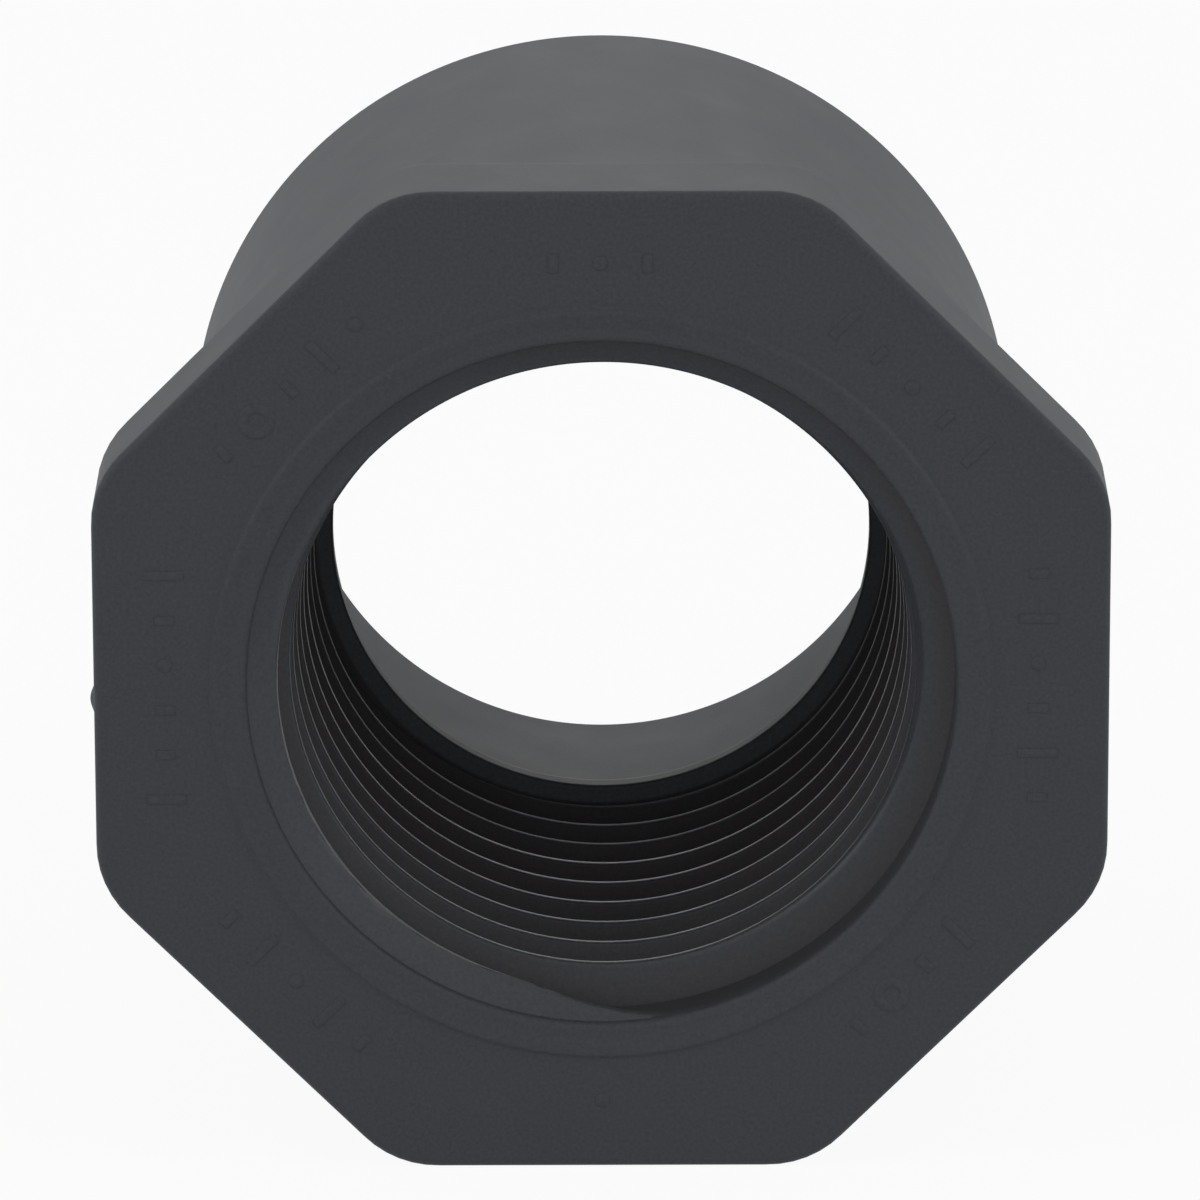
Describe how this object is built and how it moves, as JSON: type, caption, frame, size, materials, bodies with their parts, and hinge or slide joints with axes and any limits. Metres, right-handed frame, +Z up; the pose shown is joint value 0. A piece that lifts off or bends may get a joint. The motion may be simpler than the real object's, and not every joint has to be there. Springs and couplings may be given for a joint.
{
  "type": "pvc reducing bushing",
  "caption": "Grey moulded pipe reducing bushing: a plain cement spigot with a flanged eight-sided head and a tapered pipe thread inside.",
  "frame": {"origin": "middle of the threaded mouth, in the plane of the head's face", "axes": "+Y along the bore from the mouth to the spigot's end, +Z up, with the bushing lying on one flat of its head"},
  "size_m": [0.0307, 0.0299, 0.0306],
  "materials": {
    "grey_pvc": "satin"
  },
  "bodies": {
    "root": {"bushing": "grey_pvc"}
  },
  "joints": []
}
